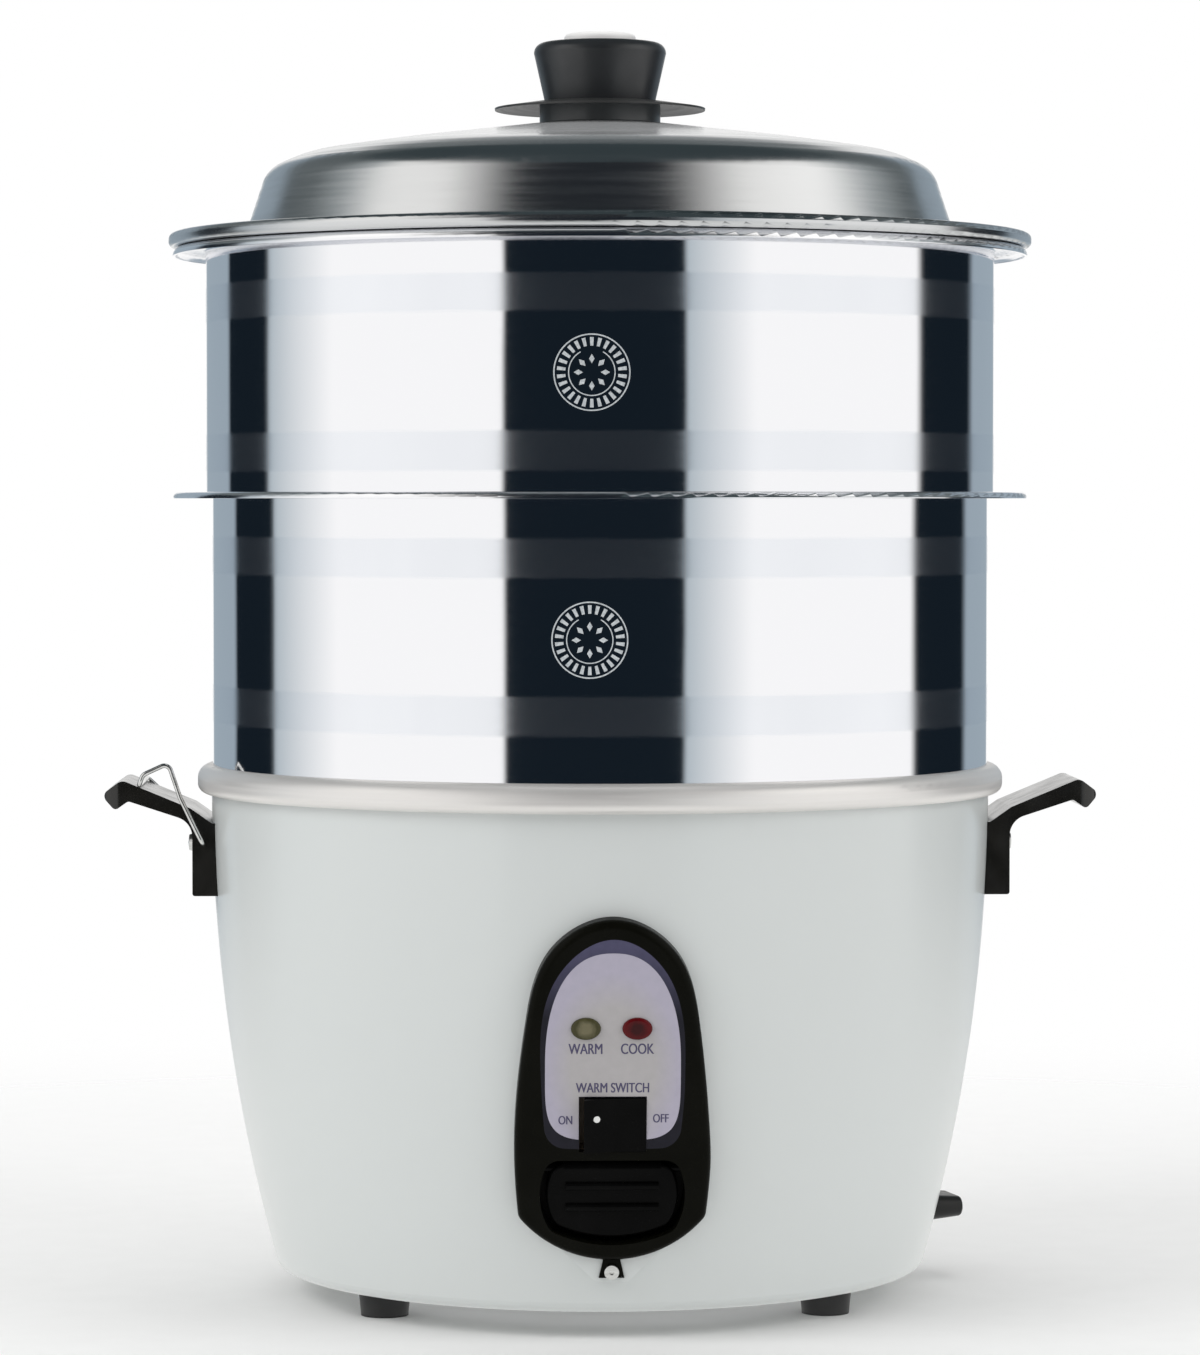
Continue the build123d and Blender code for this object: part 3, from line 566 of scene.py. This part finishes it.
def field_print():
    """The field's ink: grey in the middle and lilac towards its edge."""
    material, tree, shader = own("label_field")
    here = place(tree)
    scaled = add(
        tree,
        "ShaderNodeMapping",
        {"Vector": here, "Scale": (1 / (field_half_width * MM), 1 / (lilac_half_height * MM), 0)},
    ).outputs["Vector"]
    rim = spread(tree, length(tree, scaled), 0, 1, *lilac_reach)
    speck = spread(tree, noise(tree, here, 260, detail=4), 0, 1)
    middle = blend_colours(tree, speck, (0.425, 0.408, 0.413), (0.450, 0.433, 0.438))
    edge = blend_colours(tree, speck, (0.420, 0.397, 0.485), (0.445, 0.420, 0.510))
    wire(
        tree,
        shader,
        Base_Color=blend_colours(tree, rim, middle, edge),
        Roughness=spread(tree, noise(tree, here, 90, detail=3), 0.36, 0.46),
    )
    set_shader(shader, Specular_IOR_Level=0.2)
    return material


def word(text, x, z, size, material, strike):
    """One strike of a printed word in narrow letters, its middle at a place in mm."""
    name = f"word_{text.lower().replace(' ', '_')}_{strike}"
    font = bpy.data.curves.new(name, "FONT")
    font.body = text
    font.size = size * MM
    font.align_x = "CENTER"
    font.align_y = "CENTER"
    font.extrude = letter_depth
    printed_word = bpy.data.objects.new(name, font)
    bpy.context.scene.collection.objects.link(printed_word)
    narrow = Matrix.Diagonal((letter_width, 1, 1, 1))
    out = panel_proud + field_lift + letter_depth + strike_lift * strike
    printed_word.matrix_world = panel_matrix(x, z, out) @ narrow
    font.materials.append(material)
    return printed_word


def print_label():
    """The field and its generic words."""
    ink = printed("label_ink", (0.050, 0.042, 0.105), (0.075, 0.065, 0.14))
    pieces = [label_field()]
    for text, x, z, size in label_words:
        for strike, shift in enumerate(strikes):
            pieces.append(word(text, x + shift, z, size, ink, strike))
    for piece in pieces:
        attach(piece, "base")


def etched_mark(name, azimuth, z, body):
    """A round etched mark on a tier: ticks between two fine rings about an eight-petal flower."""
    turn = radians(azimuth)
    lift = tier_radius_of[body] + mark_lift
    mesh = bmesh.new()

    def spot(u, v):
        angle = turn + u * MM / lift
        return mesh.verts.new((lift * sin(angle), -lift * cos(angle), z + v * MM))

    def patch(corners):
        mesh.faces.new([spot(u, v) for u, v in corners])

    def polar(radius, angle):
        return radius * sin(angle), radius * cos(angle)

    def arc(inner, outer, start, end, steps):
        for step in range(steps):
            first = start + (end - start) * step / steps
            second = start + (end - start) * (step + 1) / steps
            patch([polar(inner, first), polar(outer, first), polar(outer, second), polar(inner, second)])

    for tick in range(mark_ticks):
        middle = 2 * pi * tick / mark_ticks
        arc(*tick_reach, middle - tick_half_angle, middle + tick_half_angle, 1)
    arc(*outer_ring, 0, 2 * pi, 72)
    arc(*inner_ring, inner_ring_gap, 2 * pi - inner_ring_gap, 60)
    root, waist, tip = petal_reach
    for petal in range(mark_petals):
        middle = 2 * pi * petal / mark_petals
        left, right = polar(waist, middle - petal_half_angle), polar(waist, middle + petal_half_angle)
        patch([polar(root, middle), left, polar(tip, middle), right])
    data = bpy.data.meshes.new(name)
    mesh.to_mesh(data)
    mesh.free()
    mark = bpy.data.objects.new(name, data)
    bpy.context.scene.collection.objects.link(mark)
    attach(mark, body)
    return mark


def etch_tiers():
    """One mark on each tier, in frosted steel."""
    material, tree, shader = own("etched_steel")
    frost = noise(tree, place(tree), 1200, detail=3)
    wire(
        tree,
        shader,
        Base_Color=blend_colours(tree, spread(tree, frost, 0, 1), (0.50, 0.54, 0.57), (0.72, 0.75, 0.77)),
        Roughness=spread(tree, frost, 0.5, 0.7),
    )
    set_shader(shader, Metallic=0.3)
    bump(tree, shader, frost, 0.00003, 0.5)
    for name, azimuth, z, body in tier_marks:
        etched_mark(name, azimuth, z, body).data.materials.append(material)


# Stage


def seen_azimuth(share):
    """Azimuth, from the camera's, that shows at a share of a tier's half width."""
    slope = asin(share)
    return degrees(2 * slope - asin(mean_tier_radius / surround_radius * share))


def glow_of(display, tint):
    """Linear colour that shows as an 8-bit display colour in metal of a tint."""
    return [((value / 255) ** 2.2) / share for value, share in zip(display, tint)] + [1]


def colour_ramp(tree, share, stops):
    """Colours at places from 0 to 1 along a value."""
    ramp = tree.nodes.new("ShaderNodeValToRGB")
    tree.links.new(share, ramp.inputs["Fac"])
    while len(ramp.color_ramp.elements) < len(stops):
        ramp.color_ramp.elements.new(0.5)
    for element, (position, colour) in zip(ramp.color_ramp.elements, stops):
        element.position = position
        element.color = colour
    return ramp.outputs["Color"]


def low_stops():
    """What the tiers reflect: a dark gap in front, pale walls, dark strips at the sides, pale behind."""
    white, dark, blue, dusk = (245, 245, 247), (25, 32, 39), (146, 159, 171), (172, 182, 190)
    seen = (
        (-0.930, blue), (-0.924, dark), (-0.829, dark), (-0.819, dusk), (-0.66, white),
        (-0.243, white), (-0.237, dark), (0.209, dark), (0.214, dusk), (0.383, white),
        (0.783, white), (0.799, dark), (0.9205, dark), (0.934, blue),
    )
    stops = [(0.5 + seen_azimuth(share) / 360, glow_of(display, steel_tint)) for share, display in seen]
    pale, cold = glow_of(white, steel_tint), glow_of(blue, steel_tint)
    pale_end, cold_start = rear_shares
    return [(pale_end, pale), (cold_start, cold), *stops, (1 - cold_start, cold), (1 - pale_end, pale)]


def high_stops():
    """What the lid reflects: black in front, pale patches to the left and right, dim behind."""
    black, dim, ash = (33, 36, 40), (84, 90, 92), (140, 146, 148)
    pale, bright = (224, 224, 223), (240, 240, 239)
    seen = (
        (-180, dim), (-112, dim), (-95, ash), (-80, pale), (-55, pale), (-30, black),
        (24, black), (52, pale), (82, bright), (105, ash), (122, dim), (180, dim),
    )
    return [(0.5 + angle / 360, glow_of(display, lid_tint)) for angle, display in seen]


def reflected_only(name, z, material):
    """Names, lifts and dresses the new piece of the studio and leaves it to reflections alone."""
    item = bpy.context.object
    item.name = name
    item.location.z = z
    item.data.materials.append(material)
    item.visible_camera = False
    item.visible_diffuse = False
    item.visible_shadow = False
    item.visible_transmission = False


def glow_material(name):
    """A new material with an empty node tree."""
    material = bpy.data.materials.new(name)
    material.use_nodes = True
    material.node_tree.nodes.clear()
    return material, material.node_tree


def end_in_glow(tree, colour):
    """Ends a material in a plain glow."""
    glow = tree.nodes.new("ShaderNodeEmission")
    if isinstance(colour, bpy.types.NodeSocket):
        tree.links.new(colour, glow.inputs["Color"])
    else:
        glow.inputs["Color"].default_value = colour
    out = tree.nodes.new("ShaderNodeOutputMaterial")
    tree.links.new(glow.outputs["Emission"], out.inputs["Surface"])


def turned_from_front(tree, here):
    """Angle round the cooker from the camera's side, and the same as a share of the circle."""
    sides = sides_of(tree, here)
    away = maths(tree, "MULTIPLY", sides["Y"], -1.0)
    angle = maths(tree, "ARCTAN2", sides["X"], away)
    turned = maths(tree, "SUBTRACT", angle, radians(camera_azimuth))
    return turned, spread(tree, turned, 0, 1, -pi, pi)


def wall_glow():
    """A low pattern for the tiers that turns to a high one for the lid, higher up behind."""
    material, tree = glow_material("surround")
    here = place(tree)
    turned, round_share = turned_from_front(tree, here)
    low = colour_ramp(tree, round_share, low_stops())
    high = colour_ramp(tree, round_share, high_stops())
    middle = surround_height / 2
    start, end = [radians(azimuth) for azimuth in rear_azimuths]
    behind = spread(tree, maths(tree, "ABSOLUTE", turned), 0, rear_rise, start, end)
    level = maths(tree, "SUBTRACT", sides_of(tree, here)["Z"], behind)
    climb = spread(tree, level, 0, 1, lid_reflection_z[0] - middle, lid_reflection_z[1] - middle)
    end_in_glow(tree, blend_colours(tree, climb, low, high))
    return material


def carpet_glow():
    """The wall's low pattern carried over the floor and fading to pale towards the cooker."""
    material, tree = glow_material("carpet")
    here = place(tree)
    low = colour_ramp(tree, turned_from_front(tree, here)[1], low_stops())
    share = spread(tree, length(tree, here), 0, carpet_strength, *carpet_fade)
    pale = glow_of(carpet_pale, steel_tint)[:3]
    end_in_glow(tree, blend_colours(tree, share, pale, low))
    return material


def ceiling_glow():
    """One dark tone overhead."""
    material, tree = glow_material("ceiling")
    end_in_glow(tree, glow_of(ceiling_tone, lid_tint))
    return material


def surround():
    """Round studio wall, carpet and ceiling that only reflections see."""
    bpy.ops.mesh.primitive_cylinder_add(
        vertices=180, radius=surround_radius, depth=surround_height, end_fill_type="NOTHING"
    )
    reflected_only("surround", surround_height / 2, wall_glow())
    bpy.ops.mesh.primitive_circle_add(vertices=96, radius=surround_radius, fill_type="TRIFAN")
    reflected_only("carpet", carpet_height, carpet_glow())
    bpy.ops.mesh.primitive_circle_add(vertices=96, radius=surround_radius, fill_type="NGON")
    reflected_only("ceiling", surround_height, ceiling_glow())


def floor():
    """Pale floor that keeps the shadow and fades into the white background."""
    bpy.ops.mesh.primitive_circle_add(vertices=96, radius=floor_radius, fill_type="TRIFAN")
    ground = bpy.context.object
    ground.name = "floor"
    material, tree, shader = own("floor")
    here = place(tree)
    grain = noise(tree, here, 60, detail=4)
    tone = blend_colours(tree, spread(tree, grain, 0, 1), (0.86, 0.86, 0.855), (0.875, 0.875, 0.87))
    wire(tree, shader, Base_Color=tone)
    set_shader(shader, Roughness=0.7, Specular_IOR_Level=0.2)
    fade = add(
        tree,
        "ShaderNodeMapRange",
        {"Value": length(tree, here), "From Min": floor_fade[0], "From Max": floor_fade[1]},
        interpolation_type="SMOOTHSTEP",
    ).outputs["Result"]
    clear = tree.nodes.new("ShaderNodeBsdfTransparent")
    mixed = add(tree, "ShaderNodeMixShader", {0: fade, 1: shader.outputs["BSDF"], 2: clear.outputs["BSDF"]})
    out = tree.nodes["Material Output"]
    tree.links.new(mixed.outputs["Shader"], out.inputs["Surface"])
    ground.data.materials.append(material)


def world():
    """Even pale light all round, and plain white where the camera or a reflection looks."""
    sky = bpy.data.worlds.new("studio")
    bpy.context.scene.world = sky
    sky.use_nodes = True
    tree = sky.node_tree
    light = tree.nodes["Background"]
    path = tree.nodes.new("ShaderNodeLightPath")
    seen = maths(tree, "MAXIMUM", path.outputs["Is Camera Ray"], path.outputs["Is Glossy Ray"])
    seen = maths(tree, "MAXIMUM", seen, path.outputs["Is Transmission Ray"])
    strength = spread(tree, seen, sky_strength, 1.0, 0, 1)
    light.inputs["Color"].default_value = (1, 1, 1, 1)
    tree.links.new(strength, light.inputs["Strength"])


def lamp(name, spot, size, power):
    """A large soft lamp that looks at the middle of the object and isn't seen in gloss."""
    data = bpy.data.lights.new(name, "AREA")
    data.shape = "DISK"
    data.size = size
    data.energy = power
    light = bpy.data.objects.new(name, data)
    bpy.context.scene.collection.objects.link(light)
    light.location = spot
    light.rotation_euler = (lamp_target - light.location).to_track_quat("-Z", "Y").to_euler()
    light.visible_glossy = False


def camera():
    """Camera a little to the left of the panel's axis, nearly level with the tiers."""
    data = bpy.data.cameras.new("camera")
    data.sensor_fit = "AUTO"
    data.sensor_width = 36.0
    data.lens = focal_length
    eye = bpy.data.objects.new("camera", data)
    bpy.context.scene.collection.objects.link(eye)
    azimuth = radians(camera_azimuth)
    back = Vector((sin(azimuth), -cos(azimuth), 0))
    eye.location = back * camera_distance + Vector((0, 0, eye_height))
    look = -back * cos(radians(camera_tilt)) + Vector((0, 0, -sin(radians(camera_tilt))))
    eye.rotation_euler = look.to_track_quat("-Z", "Y").to_euler()
    bpy.context.scene.camera = eye


finish_nodes()
print_label()
etch_tiers()
surround()
floor()
world()
for name, spot, size, power in lamps:
    lamp(name, spot, size, power)
camera()
bpy.context.scene.view_settings.view_transform = "Standard"
